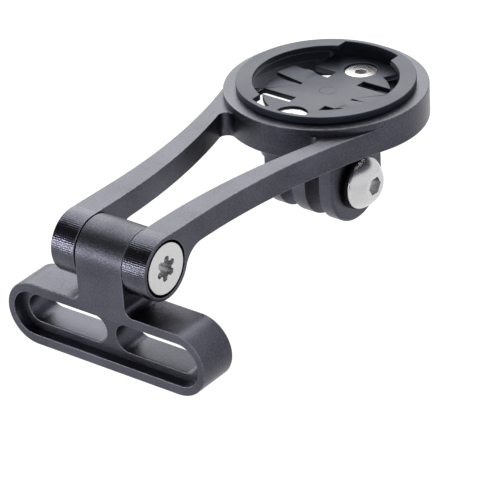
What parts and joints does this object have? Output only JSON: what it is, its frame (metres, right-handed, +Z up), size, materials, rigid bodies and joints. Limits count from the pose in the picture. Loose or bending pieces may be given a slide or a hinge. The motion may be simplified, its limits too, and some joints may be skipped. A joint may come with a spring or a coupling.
{
  "type": "bike computer mount",
  "caption": "Hinged out-front bicycle computer mount: slotted handlebar block, flared arm with a quarter-turn seat in a ring, and a finger mount below.",
  "frame": {"origin": "middle of the handlebar block's mounting face, on the plane of the rim around the recess", "axes": "+X along the handlebar and the hinge, towards the hinge screw's head; +Y from the mounting face towards the ring; +Z up"},
  "size_m": [0.042, 0.0824, 0.0265],
  "materials": {
    "bracket_aluminium": "bead-blasted, grey anodised",
    "arm_aluminium": "bead-blasted, grey anodised",
    "insert_nylon": "moulded, fine matt",
    "finger_aluminium": "bead-blasted, grey anodised",
    "screw_steel": "stainless, fine blasted",
    "washer_black": "black"
  },
  "bodies": {
    "bracket": {"handlebar_bracket": "bracket_aluminium", "hinge_washer": "washer_black"},
    "arm": {"ring_arm": "arm_aluminium", "hinge_screw": "screw_steel", "quarter_turn_insert": "insert_nylon", "insert_screw_front": "screw_steel", "insert_screw_rear": "screw_steel", "finger_mount": "finger_aluminium", "finger_bolt": "screw_steel", "finger_washer": "washer_black", "finger_nut": "screw_steel"}
  },
  "joints": [
    {"name": "hinge", "type": "hinge", "parent": "bracket", "child": "arm", "pos_m": [0, 0.00565, 0.01365], "axis": [1, 0, 0], "range_deg": [-75, 190]}
  ]
}
